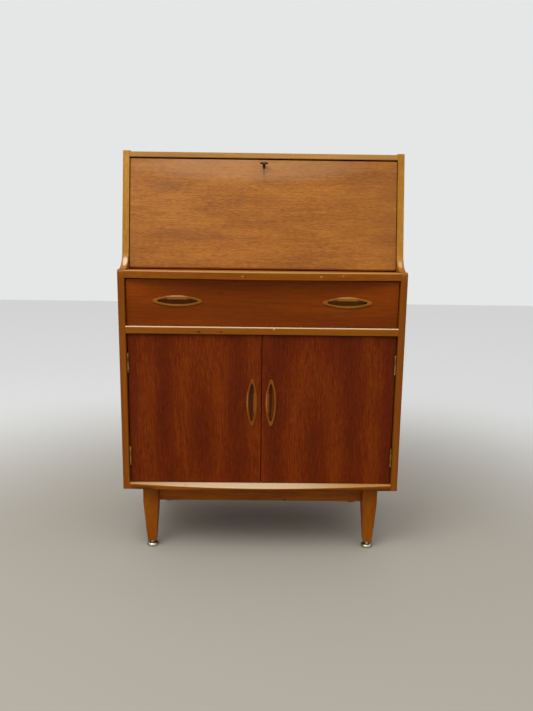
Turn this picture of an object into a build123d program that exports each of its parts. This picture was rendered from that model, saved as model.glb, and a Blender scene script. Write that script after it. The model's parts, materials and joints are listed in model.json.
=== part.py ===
from build123d import *
import os
from math import asin, cos, radians, sin, sqrt, tan

# Fall-front secretary desk: a case on a low leg frame, with a leaning flap over a drawer and two doors.
# The origin is on the floor under the middle of the desk, X runs to the desk's right as seen from the
# front, the front faces -Y, and +Z is up.  Every length is in millimetres.

# Overall sizes
width = 762.0
carcass_depth = 420.0
front_bow = 28.0
upper_height = 316.0
lean = radians(9.7)
shoulder_setback = 62.0

# Heights of the lower case, from the floor up
glide_height = 18.0
leg_length = 170.0
bottom_thickness = 16.5
cupboard_height = 419.5
divider_thickness = 20.0
drawer_opening = 127.0
worktop_thickness = 20.0

# Boards
side_thickness = 18.0
side_lip = 8.0
shoulder_rise = 2.0
shoulder_round = 8.0
shoulder_sweep = 55.0
side_arris = 1.6
side_top_round = 3.5
top_thickness = 14.5
top_drop = 3.0
top_arris = 2.0
front_lip = 12.0
board_arris = 2.5
back_thickness = 4.0
back_inset = 1.0
back_rebate = 8.0
back_play = 0.5
back_margin = 3.0
underside_bevel = radians(19.6)
level_tolerance = 0.01

# Screws that hold the back panel
back_screw_radius = 1.75
back_screw_head_radius = 3.5
back_screw_head_height = 1.4
back_screw_head_round = 0.8
back_screw_length = 16.0
back_screw_rows = 6
back_screw_edge = 4.0
back_screw_end = 25.0

# Leg frame
leg_top = 42.0
leg_foot = 25.0
leg_inset_x = 49.5
leg_inset_y = 25.0
leg_arris = 2.0
apron_height = 50.0
apron_thickness = 20.0
front_apron_setback = 17.0
side_apron_setback = 11.0
block_height = 30.0
block_reach = 45.0
glide_radius = 16.5
glide_rim = 3.0
glide_bevel = 1.0
glide_dome = 6.0
glide_neck_radius = 6.0
glide_stem_radius = 3.5
glide_stem_length = 20.0

# Flap
flap_thickness = 16.0
flap_recess = 4.0
flap_side_gap = 2.0
flap_top_gap = 3.5
flap_ledge_gap = 2.0
flap_heel_round = 5.0
flap_arris = 1.0
pivot_radius = 4.0
pivot_play = 0.05
pivot_in_flap = 25.0
pivot_in_side = 11.0
bush_wall = 2.0
bush_length = 12.0

# Sliding stays that carry the open flap
stay_radius = 110.0
stay_stud_angle = radians(122.0)
stay_pivot_clear = 1.0
stay_width = 12.0
stay_thickness = 2.0
stay_stud_radius = 3.0
stay_slot_play = 0.4
stay_slot_end = 4.0
stay_gap = 0.4
stay_flange = 2.0
stay_flange_radius = 9.0
stay_head = 1.2
stay_head_radius = 5.0
stay_pin_radius = 2.5
stay_lug = 2.0
stay_lug_radius = 7.0
stay_foot_width = 14.0
stay_foot_length = 34.0

# Lock and key
lock_width = 50.0
lock_height = 38.0
lock_depth = 11.0
lock_wall = 1.5
lock_cheek = 4.5
bolt_width = 14.0
bolt_thickness = 5.0
bolt_travel = 9.0
bolt_play = 0.1
bolt_arris = 0.6
bolt_rest = 0.2
bolt_setback = 1.0
bolt_lift_gap = 0.3
key_drop = 13.0
key_radius = 2.5
key_play = 0.06
key_reach = 22.0
key_bit_radius = 8.0
key_bit_thickness = 2.2
key_bow_width = 22.0
key_bow_depth = 15.0
key_bow_thickness = 2.4
key_bow_wall = 3.6
key_bow_round = 0.6
keyhole_slot = 3.0
escutcheon_wall = 1.4
escutcheon_proud = 0.3
strike_width = 36.0
strike_depth = 19.0
strike_ahead = 6.3
strike_thickness = 1.5
strike_margin = 1.5
strike_pocket = 8.0

# Inside the desk
writing_gap = 3.0
pigeonhole_height = 176.0
pigeonhole_board = 9.0
pigeonhole_dividers = 4
pigeonhole_gap = 9.0
pigeonhole_setback = 3.0
pigeonhole_arris = 2.0

# Drawer
front_recess = 9.0
front_thickness = 18.0
drawer_side_gap = 2.0
drawer_top_gap = 2.5
drawer_bottom_gap = 1.5
drawer_side_height = 104.0
drawer_wall = 12.0
drawer_lift = 5.0
drawer_rear_gap = 15.0
drawer_bottom_thickness = 4.0
drawer_bottom_rise = 11.0
drawer_groove = 6.0
runner_gap = 2.5
runner_height = 12.0
runner_play = 0.25
runner_rise = 60.0
runner_front_gap = 6.0
front_arris = 1.0

# Doors
door_gap = 2.0
door_centre_gap = 1.8
hinge_length = 50.8
hinge_inset = 52.0
hinge_leaf = 1.2
hinge_leaf_width = 21.0
hinge_leaf_play = 0.2
hinge_barrel_radius = 3.1
hinge_barrel_gap = 0.1
hinge_pin_radius = 1.45
hinge_pin_play = 0.05
hinge_knuckles = 5
hinge_knuckle_gap = 0.2
hinge_pin_head = 1.2
catch_width = 40.0
catch_height = 13.0
catch_depth = 14.0
catch_offset = 38.0
catch_plate_width = 32.0
catch_plate_height = 11.0
catch_plate = 1.2
catch_gap = 0.3

# Cupboard shelf
shelf_thickness = 15.0
shelf_rise = 205.0
shelf_front_gap = 20.0
shelf_end_gap = 1.0
shelf_pin_radius = 2.5
shelf_pin_reach = 8.0
shelf_pin_socket = 9.0
shelf_pin_inset = 50.0

# Scooped pulls.  The length is taken between the points of the two arcs, before the tips are rounded.
pull_length = 150.0
pull_width = 29.5
pull_tip_round = 5.0
pull_rim = 5.5
pull_proud = 3.5
pull_depth = 14.0
pull_floor = 2.0
pull_rim_round = 2.4
pull_mouth_round = 1.5
pull_mouth_tip_round = 2.5
pull_lip_length = 50.0
pull_lip_width = 5.5
pull_lip_thickness = 4.0
drawer_pull_x = 225.0
drawer_pull_drop = 59.5
door_pull_x = 26.0
door_pull_rise = 231.0

# Levels
carcass_bottom = glide_height + leg_length
cupboard_floor = carcass_bottom + bottom_thickness
divider_bottom = cupboard_floor + cupboard_height
divider_top = divider_bottom + divider_thickness
worktop_bottom = divider_top + drawer_opening
worktop_top = worktop_bottom + worktop_thickness
shoulder_top = worktop_top + shoulder_rise
height = worktop_top + upper_height
top_board_top = height - top_drop
top_board_bottom = top_board_top - top_thickness

# Planes front to back
front_y = front_bow / 2 - carcass_depth / 2
back_y = front_y + carcass_depth
panel_back_y = back_y - back_inset
panel_front_y = panel_back_y - back_thickness
inner_x = width / 2 - side_thickness


def edge_y(level):
    # Where the leaning front edge of a side lies at this height.
    return front_y + shoulder_setback + (level - worktop_top) * tan(lean)


# Flap frame: the flap turns about the middle of its own thickness, just above the worktop.
pivot_z = worktop_top + flap_ledge_gap + flap_thickness / 2
pivot_y = edge_y(pivot_z) + (flap_recess + flap_thickness / 2) / cos(lean)
flap_heel = flap_thickness / 2
flap_reach = (top_board_bottom - flap_top_gap - pivot_z - flap_thickness / 2 * sin(lean)) / cos(lean)
flap_width = 2 * (inner_x - flap_side_gap)
flap_up = (0, sin(lean), cos(lean))
flap_out = (0, -cos(lean), sin(lean))
flap_origin = (0, pivot_y, pivot_z)
# On the face plane X runs along the desk and Y up the flap; on the edge plane X runs up and Y outward.
flap_face = Plane(origin=flap_origin, x_dir=(1, 0, 0), z_dir=flap_out)
flap_edge = Plane(origin=flap_origin, x_dir=flap_up, z_dir=(1, 0, 0))
key_height = flap_reach - key_drop
# The flap opens from its lean down to level, and the stay's pivot starts behind its inner face.
flap_travel = radians(90) + lean
stay_pivot_offset = flap_thickness / 2 + stay_lug_radius + stay_pivot_clear
stay_pivot_angle = flap_travel + asin(stay_pivot_offset / stay_radius)

os.makedirs("parts", exist_ok=True)


def finish(piece, label):
    piece.part.label = label
    export_step(piece.part, f"parts/{label}.step")


def make_board(label, x_span, y_span, z_span):
    # A plain rectangular board given by where it starts and ends along each axis.
    size = [end - start for start, end in (x_span, y_span, z_span)]
    middle = [(start + end) / 2 for start, end in (x_span, y_span, z_span)]
    with BuildPart() as board:
        with Locations(Vector(*middle)):
            Box(*size)
    finish(board, label)


def add_block(x_span, y_span, z_span, mode=Mode.ADD):
    # A rectangular block added to or cut from the piece being built.
    size = [abs(end - start) for start, end in (x_span, y_span, z_span)]
    middle = [(start + end) / 2 for start, end in (x_span, y_span, z_span)]
    with Locations(Vector(*middle)):
        Box(*size, mode=mode)


def add_rod(plane, radius, start, end, mode=Mode.ADD):
    # A round rod or hole along the normal of a plane, between two distances from it.
    with BuildSketch(plane.offset(start)) as circle:
        Circle(radius)
    extrude(circle.sketch, amount=end - start, mode=mode)


def round_shoulder(sketch):
    # The shoulder's nose is a small round and the sweep above it a large one.
    level = (shoulder_top - level_tolerance, shoulder_top + level_tolerance)
    nose = sketch.vertices().filter_by_position(Axis.Y, *level).sort_by(Axis.X)[0]
    fillet(nose, shoulder_round)
    sweep_corner = sketch.vertices().filter_by_position(Axis.Y, *level).sort_by(Axis.X)[-1]
    fillet(sweep_corner, shoulder_sweep)


def side_solid(inset, outer_x, inner_face_x, mode=Mode.ADD):
    # The side's profile drawn on its outer face plane and extruded to its inner face.
    # It runs upright to the shoulder, sweeps back to the leaning edge, then goes up to the top.
    with BuildSketch(Plane.YZ.offset(outer_x)) as profile:
        with BuildLine():
            Polyline(
                (back_y, carcass_bottom),
                (front_y + inset, carcass_bottom),
                (front_y + inset, shoulder_top),
                (edge_y(shoulder_top) + inset, shoulder_top),
                (edge_y(height) + inset, height),
                (back_y, height),
                close=True,
            )
        make_face()
        round_shoulder(profile)
        top_front = profile.vertices().group_by(Axis.Y)[-1].sort_by(Axis.X)[0]
        fillet(top_front, side_top_round)
    extrude(profile.sketch, amount=inner_face_x - outer_x, mode=mode)


def flap_point(up, out):
    # Y and Z of a point given by its distance up the flap from the pivot and outward from mid-thickness.
    return pivot_y + up * sin(lean) - out * cos(lean), pivot_z + up * cos(lean) + out * sin(lean)


def bowed_board(label, level, thickness, bevelled):
    # A solid front strip whose back is straight and whose front bows forward between the sides.
    # Its lower front is either rounded like its upper front or bevelled back to the case.
    with BuildPart() as strip:
        with BuildSketch(Plane.XY.offset(level)):
            with BuildLine():
                front = ThreePointArc((-inner_x, front_y), (0, front_y - front_bow), (inner_x, front_y))
                strip_back_y = front_y + front_lip
                Polyline(front @ 1, (inner_x, strip_back_y), (-inner_x, strip_back_y), front @ 0)
            make_face()
        extrude(amount=thickness)
        arris = strip.edges().filter_by(GeomType.CIRCLE)
        fillet(arris.sort_by(Axis.Z)[-1], board_arris)
        if bevelled:
            cut_reach = 2 * front_bow
            rise = cut_reach * tan(underside_bevel)
            with BuildSketch(Plane.YZ):
                with BuildLine():
                    Polyline(
                        (front_y, level),
                        (front_y - cut_reach, level),
                        (front_y - cut_reach, level + rise),
                        close=True,
                    )
                make_face()
            extrude(amount=width, both=True, mode=Mode.SUBTRACT)
        else:
            fillet(strip.edges().filter_by(GeomType.CIRCLE).sort_by(Axis.Z)[0], board_arris / 2)
    finish(strip, label)


def vesica(plane, inset):
    # The pull's outline: two equal arcs that meet in points, rounded, then drawn in by an inset.
    with BuildSketch(plane) as outline:
        with BuildLine():
            ThreePointArc((-pull_length / 2, 0), (0, pull_width / 2), (pull_length / 2, 0))
            ThreePointArc((pull_length / 2, 0), (0, -pull_width / 2), (-pull_length / 2, 0))
        make_face()
        fillet(outline.vertices(), pull_tip_round)
        if inset > 0:
            offset(amount=-inset, kind=Kind.INTERSECTION, mode=Mode.REPLACE)
            fillet(outline.vertices(), pull_mouth_tip_round)
    return outline.sketch


def front_plane(x, level, x_dir):
    # A plane on the face of the drawer and doors, looking outward, with its X axis along a pull.
    return Plane(origin=(x, front_face_y, level), x_dir=x_dir, z_dir=(0, -1, 0))


# Levels and places that several pieces share
drawer_front_bottom = divider_top + drawer_bottom_gap
drawer_front_top = worktop_bottom - drawer_top_gap
drawer_side_bottom = drawer_front_bottom + drawer_lift
runner_middle = drawer_side_bottom + runner_rise
front_face_y = front_y + front_recess
front_inner_y = front_face_y + front_thickness
shelf_bottom = cupboard_floor + shelf_rise
shelf_front_y = front_inner_y + shelf_front_gap
shelf_back_y = panel_front_y - shelf_end_gap
shelf_pin_ys = (shelf_front_y + shelf_pin_inset, shelf_back_y - shelf_pin_inset)
pull_bottom = pull_proud - pull_depth - pull_floor
bush_radius = pivot_radius + pivot_play + bush_wall
screw_x = inner_x + back_screw_edge
screw_span = top_board_top - carcass_bottom - 2 * back_screw_end
screw_pitch = screw_span / (back_screw_rows - 1)
screw_levels = [carcass_bottom + back_screw_end + row * screw_pitch for row in range(back_screw_rows)]

# Side panels with their solid front lippings
for side, sign in (("left", -1), ("right", 1)):
    outer_x = sign * width / 2
    inner_face_x = sign * inner_x

    with BuildPart() as side_panel:
        side_solid(side_lip, outer_x, inner_face_x)
        rebate = sorted((inner_face_x, inner_face_x + sign * back_rebate))
        add_block(rebate, (panel_front_y, back_y), (carcass_bottom, height), Mode.SUBTRACT)
        bush_plane = Plane(origin=(inner_face_x, pivot_y, pivot_z), z_dir=(sign, 0, 0))
        add_rod(bush_plane, bush_radius, 0, bush_length, Mode.SUBTRACT)
        for level in screw_levels:
            screw_plane = Plane(origin=(sign * screw_x, panel_front_y, level), z_dir=(0, -1, 0))
            add_rod(screw_plane, back_screw_radius, 0, back_screw_length - back_thickness, Mode.SUBTRACT)
        for pin_y in shelf_pin_ys:
            pin_level = shelf_bottom - shelf_pin_radius
            pin_plane = Plane(origin=(inner_face_x, pin_y, pin_level), z_dir=(sign, 0, 0))
            add_rod(pin_plane, shelf_pin_radius, 0, shelf_pin_socket, Mode.SUBTRACT)
    finish(side_panel, f"side_panel_{side}")

    with BuildPart() as side_lipping:
        side_solid(0, outer_x, inner_face_x)
        top_front_y = edge_y(height) + 2 * side_top_round
        for end in (0, -1):
            face_edges = side_lipping.edges().group_by(Axis.X)[end]
            front_edges = face_edges.filter_by(lambda edge: edge.center().Y < top_front_y)
            fillet(front_edges, side_arris)
        side_solid(side_lip, outer_x, inner_face_x, Mode.SUBTRACT)
    finish(side_lipping, f"side_lipping_{side}")

# Top board and its lipping, whose front follows the leaning edge
top_lip_back_y = edge_y(top_board_bottom) + side_lip
bolt_out = bolt_thickness / 2 + lock_wall + bolt_setback - flap_thickness / 2
strike_up = (top_board_bottom - pivot_z - bolt_out * sin(lean)) / cos(lean)
strike_y = flap_point(strike_up, bolt_out)[0]
strike_span_y = (strike_y - strike_ahead, strike_y - strike_ahead + strike_depth)

with BuildPart() as top_board:
    add_block((-inner_x, inner_x), (top_lip_back_y, panel_front_y), (top_board_bottom, top_board_top))
    strike_span_z = (top_board_bottom, top_board_bottom + strike_thickness)
    add_block((-strike_width / 2, strike_width / 2), strike_span_y, strike_span_z, Mode.SUBTRACT)
    mortise_half_x = bolt_width / 2 + strike_margin
    mortise_half_y = bolt_thickness / 2 + strike_margin
    mortise_x = (-mortise_half_x, mortise_half_x)
    mortise_y = (strike_y - mortise_half_y, strike_y + mortise_half_y)
    mortise_z = (top_board_bottom, top_board_bottom + strike_pocket)
    add_block(mortise_x, mortise_y, mortise_z, Mode.SUBTRACT)
finish(top_board, "top_board")

with BuildPart() as top_lipping:
    with BuildSketch(Plane.YZ) as profile:
        with BuildLine():
            Polyline(
                (edge_y(top_board_bottom), top_board_bottom),
                (edge_y(top_board_top), top_board_top),
                (top_lip_back_y, top_board_top),
                (top_lip_back_y, top_board_bottom),
                close=True,
            )
        make_face()
        fillet(profile.vertices().sort_by(Axis.X)[:2], top_arris)
    extrude(amount=inner_x, both=True)
finish(top_lipping, "top_lipping")

with BuildPart() as strike_plate:
    add_block((-strike_width / 2, strike_width / 2), strike_span_y, strike_span_z)
    add_block(mortise_x, mortise_y, strike_span_z, Mode.SUBTRACT)
finish(strike_plate, "strike_plate")

# Fixed boards between the sides, each with its solid front strip
board_x = (-inner_x, inner_x)
board_y = (front_y + front_lip, panel_front_y)
make_board("worktop", board_x, board_y, (worktop_bottom, worktop_top))
make_board("divider_board", board_x, board_y, (divider_bottom, divider_top))
make_board("bottom_board", board_x, board_y, (carcass_bottom, cupboard_floor))
bowed_board("worktop_lipping", worktop_bottom, worktop_thickness, False)
bowed_board("bottom_lipping", carcass_bottom, bottom_thickness, True)

with BuildPart() as divider_lipping:
    add_block(board_x, (front_y, front_y + front_lip), (divider_bottom, divider_top))
    front_arrises = divider_lipping.edges().filter_by(Axis.X).group_by(Axis.Y)[0]
    fillet(front_arrises, board_arris)
finish(divider_lipping, "divider_lipping")

# Back panel in the sides' rebates, and its screws
with BuildPart() as back_panel:
    panel_x = inner_x + back_rebate - back_play
    panel_z = (carcass_bottom + back_margin, top_board_top - back_margin)
    add_block((-panel_x, panel_x), (panel_front_y, panel_back_y), panel_z)
    for sign in (-1, 1):
        for level in screw_levels:
            screw_plane = Plane(origin=(sign * screw_x, panel_back_y, level), z_dir=(0, -1, 0))
            add_rod(screw_plane, back_screw_radius, 0, back_thickness, Mode.SUBTRACT)
finish(back_panel, "back_panel")

with BuildPart() as back_screws:
    for sign in (-1, 1):
        for level in screw_levels:
            screw_plane = Plane(origin=(sign * screw_x, panel_back_y, level), z_dir=(0, -1, 0))
            add_rod(screw_plane, back_screw_radius, 0, back_screw_length)
            add_rod(screw_plane, back_screw_head_radius, -back_screw_head_height, 0)
    rims = back_screws.faces().group_by(Axis.Y)[-1].edges()
    fillet(rims, back_screw_head_round)
finish(back_screws, "back_panel_screws")

# Inside the desk: a raised writing board that meets the open flap, and pigeonholes behind the stays
chord_closed = 2 * stay_radius * sin((stay_stud_angle - stay_pivot_angle) / 2)
chord_open = 2 * stay_radius * sin((stay_stud_angle - stay_pivot_angle + flap_travel) / 2)
stay_reach = chord_open + stay_slot_end + stay_stud_radius + stay_width / 2
stay_heading = (stay_stud_angle + stay_pivot_angle) / 2 + radians(90)
stay_end_y = pivot_y - stay_radius * cos(stay_pivot_angle) - stay_reach * cos(stay_heading)
writing_front_y = pivot_y + flap_thickness / 2 + writing_gap
writing_top = pivot_z + flap_thickness / 2
pigeonhole_front_y = stay_end_y + pigeonhole_gap
pigeonhole_y = (pigeonhole_front_y, panel_front_y)
pigeonhole_top = writing_top + pigeonhole_height
pigeonhole_shelf_z = (pigeonhole_top, pigeonhole_top + pigeonhole_board)
make_board("writing_board", board_x, (writing_front_y, panel_front_y), (worktop_top, writing_top))

with BuildPart() as pigeonhole_shelf:
    add_block(board_x, pigeonhole_y, pigeonhole_shelf_z)
    fillet(pigeonhole_shelf.edges().filter_by(Axis.X).group_by(Axis.Y)[0], pigeonhole_arris)
finish(pigeonhole_shelf, "pigeonhole_shelf")

divider_pitch = 2 * inner_x / (pigeonhole_dividers + 1)
divider_y = (pigeonhole_front_y + pigeonhole_setback, panel_front_y)
with BuildPart() as dividers:
    for number in range(1, pigeonhole_dividers + 1):
        middle_x = -inner_x + number * divider_pitch
        divider_x = (middle_x - pigeonhole_board / 2, middle_x + pigeonhole_board / 2)
        add_block(divider_x, divider_y, (writing_top, pigeonhole_top))
    fillet(dividers.edges().filter_by(Axis.Z).group_by(Axis.Y)[0], pigeonhole_arris)
finish(dividers, "pigeonhole_dividers")

# Leg frame: four tapered legs, aprons between them, corner blocks and glides
leg_centre_x = width / 2 - leg_inset_x - leg_top / 2
leg_middle_y = leg_inset_y + leg_top / 2
leg_centre_ys = {"front": front_y + leg_middle_y, "rear": back_y - leg_middle_y}
apron_z = (carcass_bottom - apron_height, carcass_bottom)
apron_end_x = leg_centre_x - leg_top / 2
side_apron_outer_x = leg_centre_x + leg_top / 2 - side_apron_setback
side_apron_inner_x = side_apron_outer_x - apron_thickness

for row, facing in (("front", -1), ("rear", 1)):
    leg_y = leg_centre_ys[row]
    outer_y = leg_y + facing * (leg_top / 2 - front_apron_setback)
    apron_y = sorted((outer_y, outer_y - facing * apron_thickness))
    with BuildPart() as apron:
        add_block((-apron_end_x, apron_end_x), apron_y, apron_z)
        lower_edges = apron.edges().filter_by(Axis.X).group_by(Axis.Z)[0]
        fillet(lower_edges, leg_arris)
    finish(apron, f"{row}_apron")

    for side, sign in (("left", -1), ("right", 1)):
        leg_x = sign * leg_centre_x
        with BuildPart() as leg:
            with BuildSketch(Plane.XY.offset(carcass_bottom - apron_height)):
                with Locations((leg_x, leg_y)):
                    Rectangle(leg_top, leg_top)
            with BuildSketch(Plane.XY.offset(glide_height)):
                with Locations((leg_x, leg_y)):
                    Rectangle(leg_foot, leg_foot)
            loft()
            head_x = (leg_x - leg_top / 2, leg_x + leg_top / 2)
            head_y = (leg_y - leg_top / 2, leg_y + leg_top / 2)
            add_block(head_x, head_y, apron_z)
            arrises = leg.edges().filter_by(lambda edge: abs(edge.tangent_at(0.5).Z) > 0.5)
            fillet(arrises, leg_arris)
            stem_plane = Plane(origin=(leg_x, leg_y, glide_height))
            add_rod(stem_plane, glide_stem_radius, 0, glide_stem_length, Mode.SUBTRACT)
        finish(leg, f"leg_{row}_{side}")

for side, sign in (("left", -1), ("right", 1)):
    apron_x = sorted((sign * side_apron_inner_x, sign * side_apron_outer_x))
    apron_y = (leg_centre_ys["front"] + leg_top / 2, leg_centre_ys["rear"] - leg_top / 2)
    with BuildPart() as side_apron:
        add_block(apron_x, apron_y, apron_z)
        fillet(side_apron.edges().filter_by(Axis.Y).group_by(Axis.Z)[0], leg_arris)
    finish(side_apron, f"side_apron_{side}")

# Each corner block bridges from the long apron to the side apron round the leg's inner corner.
with BuildPart() as corner_blocks:
    for row, facing in (("front", -1), ("rear", 1)):
        leg_y = leg_centre_ys[row]
        apron_inner_y = leg_y + facing * (leg_top / 2 - front_apron_setback - apron_thickness)
        leg_inner_y = leg_y - facing * leg_top / 2
        for sign in (-1, 1):
            with BuildSketch(Plane.XY.offset(carcass_bottom - block_height)):
                with BuildLine():
                    Polyline(
                        (sign * (apron_end_x - block_reach), apron_inner_y),
                        (sign * apron_end_x, apron_inner_y),
                        (sign * apron_end_x, leg_inner_y),
                        (sign * side_apron_inner_x, leg_inner_y),
                        (sign * side_apron_inner_x, leg_inner_y - facing * block_reach),
                        close=True,
                    )
                make_face()
            extrude(amount=block_height)
finish(corner_blocks, "corner_blocks")

with BuildPart() as glides:
    for leg_y in leg_centre_ys.values():
        for sign in (-1, 1):
            foot = (sign * leg_centre_x, leg_y, 0)
            with BuildSketch(Plane(origin=foot, x_dir=(1, 0, 0), z_dir=(0, -1, 0))):
                with BuildLine():
                    dome_start = (glide_radius, glide_rim)
                    dome_end = (glide_neck_radius, glide_rim + glide_dome)
                    Line((0, 0), (glide_radius - glide_bevel, 0))
                    Polyline((glide_radius - glide_bevel, 0), (glide_radius, glide_bevel), dome_start)
                    TangentArc(dome_start, dome_end, tangent=(0, 1))
                    Polyline(
                        dome_end,
                        (glide_neck_radius, glide_height),
                        (glide_stem_radius, glide_height),
                        (glide_stem_radius, glide_height + glide_stem_length),
                        (0, glide_height + glide_stem_length),
                        (0, 0),
                    )
                make_face()
            revolve(axis=Axis(foot, (0, 0, 1)))
finish(glides, "glides")

# Cupboard shelf on four pins
shelf_x = inner_x - shelf_end_gap
shelf_z = (shelf_bottom, shelf_bottom + shelf_thickness)
make_board("cupboard_shelf", (-shelf_x, shelf_x), (shelf_front_y, shelf_back_y), shelf_z)

with BuildPart() as shelf_pins:
    for sign in (-1, 1):
        for pin_y in shelf_pin_ys:
            pin_start = (sign * inner_x, pin_y, shelf_bottom - shelf_pin_radius)
            pin_plane = Plane(origin=pin_start, z_dir=(-sign, 0, 0))
            add_rod(pin_plane, shelf_pin_radius, -shelf_pin_socket, shelf_pin_reach)
finish(shelf_pins, "shelf_pins")

# Drawer: a flat front with sides grooved to run on battens
front_x = inner_x - drawer_side_gap
drawer_outer_x = inner_x - runner_gap
drawer_inner_x = drawer_outer_x - drawer_wall
drawer_back_y = panel_front_y - drawer_rear_gap
drawer_bottom_z = (
    drawer_side_bottom + drawer_bottom_rise,
    drawer_side_bottom + drawer_bottom_rise + drawer_bottom_thickness,
)
drawer_side_z = (drawer_side_bottom, drawer_side_bottom + drawer_side_height)
drawer_pull_level = worktop_bottom - drawer_pull_drop

with BuildPart() as drawer_front:
    drawer_front_z = (drawer_front_bottom, drawer_front_top)
    add_block((-front_x, front_x), (front_face_y, front_inner_y), drawer_front_z)
    fillet(drawer_front.edges().group_by(Axis.Y)[0], front_arris)
    groove_x = drawer_inner_x + drawer_groove
    groove_y = (front_inner_y - drawer_groove, front_inner_y)
    add_block((-groove_x, groove_x), groove_y, drawer_bottom_z, Mode.SUBTRACT)
    for sign in (-1, 1):
        pull_plane = front_plane(sign * drawer_pull_x, drawer_pull_level, (1, 0, 0))
        extrude(vesica(pull_plane, 0), amount=pull_bottom, mode=Mode.SUBTRACT)
finish(drawer_front, "drawer_front")

for side, sign in (("left", -1), ("right", 1)):
    with BuildPart() as drawer_side:
        wall_x = sorted((sign * drawer_outer_x, sign * drawer_inner_x))
        add_block(wall_x, (front_inner_y, drawer_back_y), drawer_side_z)
        fillet(drawer_side.edges().filter_by(Axis.Y).group_by(Axis.Z)[-1], pigeonhole_arris)
        groove_x = sorted((sign * drawer_inner_x, sign * (drawer_inner_x + drawer_groove)))
        add_block(groove_x, (front_inner_y, drawer_back_y), drawer_bottom_z, Mode.SUBTRACT)
        runner_slot_x = sorted((sign * drawer_outer_x, sign * (drawer_outer_x - drawer_groove)))
        slot_half = runner_height / 2 + runner_play
        slot_z = (runner_middle - slot_half, runner_middle + slot_half)
        add_block(runner_slot_x, (front_inner_y, drawer_back_y), slot_z, Mode.SUBTRACT)
    finish(drawer_side, f"drawer_side_{side}")

back_wall_z = (drawer_bottom_z[1], drawer_side_z[1] - drawer_lift)
back_wall_y = (drawer_back_y - drawer_wall, drawer_back_y)
make_board("drawer_back", (-drawer_inner_x, drawer_inner_x), back_wall_y, back_wall_z)
bottom_x = drawer_inner_x + drawer_groove
bottom_y = (front_inner_y - drawer_groove, drawer_back_y)
make_board("drawer_bottom", (-bottom_x, bottom_x), bottom_y, drawer_bottom_z)

with BuildPart() as drawer_runners:
    for sign in (-1, 1):
        runner_x = sorted((sign * inner_x, sign * (drawer_outer_x - drawer_groove + runner_play)))
        runner_z = (runner_middle - runner_height / 2, runner_middle + runner_height / 2)
        add_block(runner_x, (front_inner_y + runner_front_gap, panel_front_y), runner_z)
finish(drawer_runners, "drawer_runners")


def make_pull(label, plane):
    # A scooped pull: a rounded rim proud of the face, a deep hollow, and a flat lip over one long side.
    with BuildPart() as pull:
        outer = vesica(plane.offset(pull_bottom), 0)
        extrude(outer, amount=pull_proud - pull_bottom)
        outward = Axis(plane.origin, plane.z_dir)
        rim_face = pull.faces().filter_by(outward).sort_by(outward)[-1]
        fillet(rim_face.edges(), pull_rim_round)
        lip_edge = pull_width / 2 - pull_rim - pull_lip_width
        with BuildSketch(plane.offset(pull_proud)) as mouth:
            add(vesica(Plane.XY, pull_rim))
            with BuildLine():
                Polyline(
                    (-pull_lip_length / 2, lip_edge),
                    (pull_lip_length / 2, lip_edge),
                    (pull_lip_length / 2 + pull_width, lip_edge + pull_width),
                    (-pull_lip_length / 2 - pull_width, lip_edge + pull_width),
                    close=True,
                )
            make_face(mode=Mode.SUBTRACT)
            lip_corners = mouth.vertices().filter_by_position(Axis.X, -pull_lip_length, pull_lip_length)
            fillet(lip_corners.filter_by_position(Axis.Y, 0, pull_width), pull_mouth_round)
        extrude(mouth.sketch, amount=-pull_lip_thickness, mode=Mode.SUBTRACT)
        hollow = vesica(plane.offset(pull_proud - pull_lip_thickness), pull_rim)
        extrude(hollow, amount=pull_lip_thickness - pull_depth, mode=Mode.SUBTRACT)
        mouth_face = pull.faces().filter_by(outward).sort_by(outward)[-1]
        fillet(mouth_face.inner_wires().edges(), pull_mouth_round)
    finish(pull, label)


door_pull_level = cupboard_floor + door_pull_rise
for side, sign in (("left", -1), ("right", 1)):
    make_pull(f"drawer_pull_{side}", front_plane(sign * drawer_pull_x, drawer_pull_level, (1, 0, 0)))
    make_pull(f"door_pull_{side}", front_plane(sign * door_pull_x, door_pull_level, (0, 0, sign)))

# Doors hung on butt hinges at their outer front corners
door_edge_x = inner_x - 2 * hinge_leaf - hinge_leaf_play
door_z = (cupboard_floor + door_gap, divider_bottom - door_gap)
hinge_axis_x = inner_x - hinge_barrel_radius - hinge_barrel_gap
hinge_axis_y = front_face_y - hinge_barrel_radius
hinge_middle = hinge_inset + hinge_length / 2
hinge_levels = (door_z[0] + hinge_middle, door_z[1] - hinge_middle)
leaf_back_y = hinge_axis_y + hinge_leaf_width
knuckle_pitch = hinge_length / hinge_knuckles
catch_plate_y = (front_inner_y, front_inner_y + catch_plate)
catch_z = (divider_bottom - catch_height, divider_bottom)
plate_middle = divider_bottom - catch_height / 2
plate_z = (plate_middle - catch_plate_height / 2, plate_middle + catch_plate_height / 2)

for side, sign in (("left", -1), ("right", 1)):
    with BuildPart() as door:
        door_x = sorted((sign * door_centre_gap / 2, sign * door_edge_x))
        add_block(door_x, (front_face_y, front_inner_y), door_z)
        fillet(door.edges().group_by(Axis.Y)[0], front_arris)
        pull_plane = front_plane(sign * door_pull_x, door_pull_level, (0, 0, sign))
        extrude(vesica(pull_plane, 0), amount=pull_bottom, mode=Mode.SUBTRACT)
    finish(door, f"door_{side}")

    plate_x = (sign * catch_offset - catch_plate_width / 2, sign * catch_offset + catch_plate_width / 2)
    make_board(f"catch_plate_{side}", plate_x, catch_plate_y, plate_z)


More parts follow.
